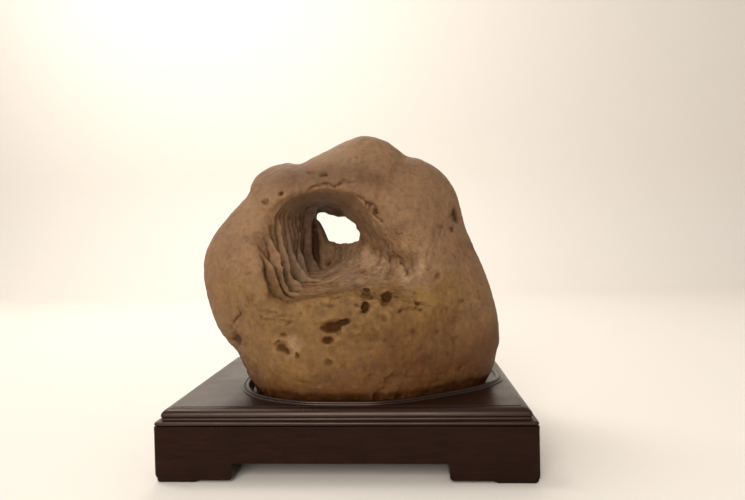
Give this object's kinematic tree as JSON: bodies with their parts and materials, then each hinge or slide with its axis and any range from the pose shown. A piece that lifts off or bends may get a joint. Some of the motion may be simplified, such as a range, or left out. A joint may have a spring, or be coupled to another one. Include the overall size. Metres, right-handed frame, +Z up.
{
  "type": "scholars rock on a stand",
  "caption": "Leaning ring-like scholars rock, hollowed through to a small window, resting in the carved seat of a low moulded hardwood stand with bracket feet.",
  "frame": {"origin": "middle of the stand's footprint, on the surface it stands on", "axes": "+X to the right seen from the front, +Y to the back, +Z up; the hollow opens towards -Y"},
  "size_m": [0.32, 0.226, 0.3037],
  "materials": {
    "stone": "weathered, matt, brown to ochre",
    "stand_wood": "dark brown, semi-gloss lacquer",
    "foot_sole": "dark brown, matt"
  },
  "bodies": {
    "root": {"stone": "stone", "stand_top": "stand_wood", "apron_front": "stand_wood", "apron_back": "stand_wood", "apron_left": "stand_wood", "apron_right": "stand_wood", "pad_front_left": "foot_sole", "pad_front_right": "foot_sole", "pad_back_left": "foot_sole", "pad_back_right": "foot_sole"}
  },
  "joints": []
}
